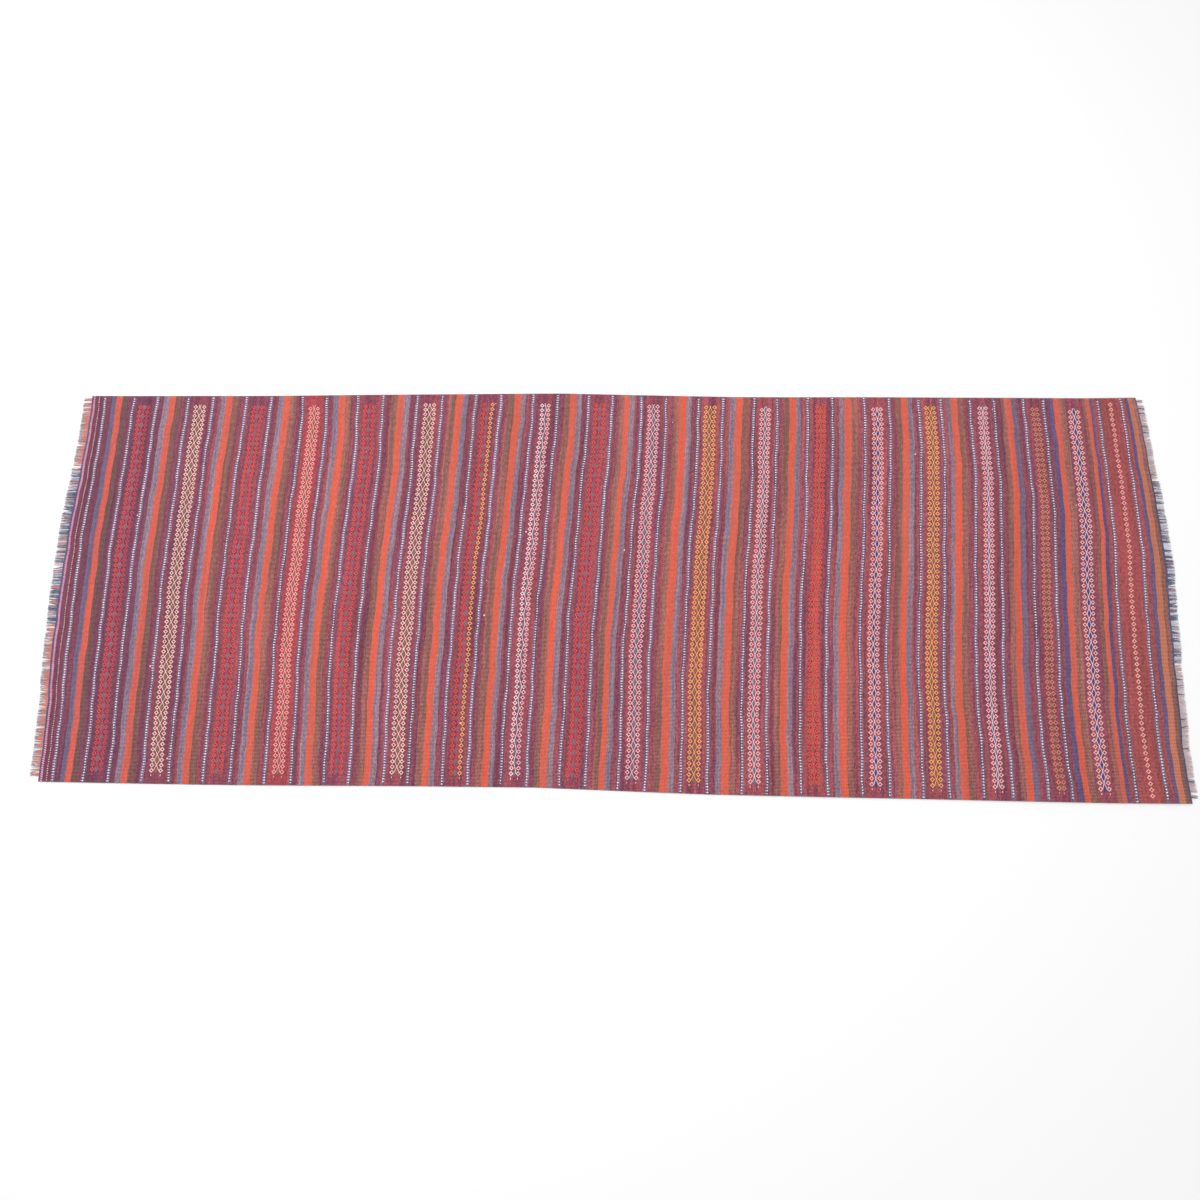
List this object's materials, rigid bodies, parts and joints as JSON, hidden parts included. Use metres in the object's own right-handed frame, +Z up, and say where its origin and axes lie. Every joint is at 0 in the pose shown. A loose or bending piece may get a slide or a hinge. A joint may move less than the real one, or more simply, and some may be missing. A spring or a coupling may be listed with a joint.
{
  "type": "runner rug",
  "caption": "Long flatwoven runner rug: coloured stripes across its width, bands of small brocaded flowers between them, and short cut fringes at both ends.",
  "frame": {"origin": "middle of the bounding box on the floor, at the underside of the cloth", "axes": "+X along the rug towards the end with the red flower-row band, +Y across it to the far long edge, +Z up out of the face"},
  "size_m": [2.6876, 0.975, 0.0036],
  "materials": {
    "ground_maroon": "weft-faced wool, matt",
    "ground_red": "weft-faced wool, matt",
    "slate_yarn": "weft-faced wool, matt",
    "navy_yarn": "weft-faced wool, matt",
    "orange_yarn": "weft-faced wool, matt",
    "brown_yarn": "weft-faced wool, matt",
    "tan_yarn": "weft-faced wool, matt",
    "twined_pink": "twined wool cord, matt",
    "dark_line": "weft-faced wool, matt",
    "beaded_white": "two-coloured weft, matt",
    "dashed_salmon": "two-coloured weft, matt",
    "brocade_red": "raised extra weft, matt",
    "brocade_cream": "raised extra weft, matt",
    "brocade_salmon": "raised extra weft, matt",
    "brocade_white": "raised extra weft, matt",
    "brocade_gold": "raised extra weft, matt",
    "brocade_orange": "raised extra weft, matt",
    "warp_salmon": "spun wool warp, matt",
    "warp_dark": "spun wool warp, matt"
  },
  "bodies": {
    "root": {"ground_band_01": "ground_maroon", "ground_band_02": "ground_maroon", "ground_band_03": "ground_maroon", "ground_band_04": "ground_maroon", "ground_band_05": "ground_maroon", "ground_band_06": "ground_maroon", "ground_band_07": "ground_maroon", "ground_band_08": "ground_maroon", "ground_band_09": "ground_maroon", "ground_band_10": "ground_maroon", "ground_band_11": "ground_maroon", "ground_band_12": "ground_maroon", "ground_band_13": "ground_maroon", "ground_band_14": "ground_maroon", "ground_band_15": "ground_maroon", "ground_band_16": "ground_maroon", "ground_band_17": "ground_maroon", "ground_band_18": "ground_maroon", "left_end_band": "ground_maroon", "red_end_band": "ground_red", "slate_stripes": "slate_yarn", "navy_stripes": "navy_yarn", "orange_stripes": "orange_yarn", "brown_stripes": "brown_yarn", "tan_stripe": "tan_yarn", "twined_line": "twined_pink", "end_line_left": "dark_line", "end_line_right": "dark_line", "beaded_lines": "beaded_white", "dashed_line": "dashed_salmon", "brocade_01": "brocade_red", "brocade_02": "brocade_cream", "brocade_03": "brocade_red", "brocade_04": "brocade_salmon", "brocade_05": "brocade_red", "brocade_06": "brocade_cream", "brocade_07": "brocade_red", "brocade_08": "brocade_white", "brocade_09": "brocade_red", "brocade_10": "brocade_cream", "brocade_11": "brocade_gold", "brocade_12": "brocade_salmon", "brocade_13": "brocade_orange", "brocade_14": "brocade_white", "brocade_15": "brocade_gold", "brocade_16": "brocade_white", "brocade_17": "brocade_orange", "brocade_18": "brocade_white", "flower_row": "brocade_salmon", "warp_far": "warp_salmon", "warp_near": "warp_salmon", "selvedge_warp_far": "warp_salmon", "selvedge_warp_near": "warp_salmon", "warp_middle": "warp_dark"}
  },
  "joints": []
}
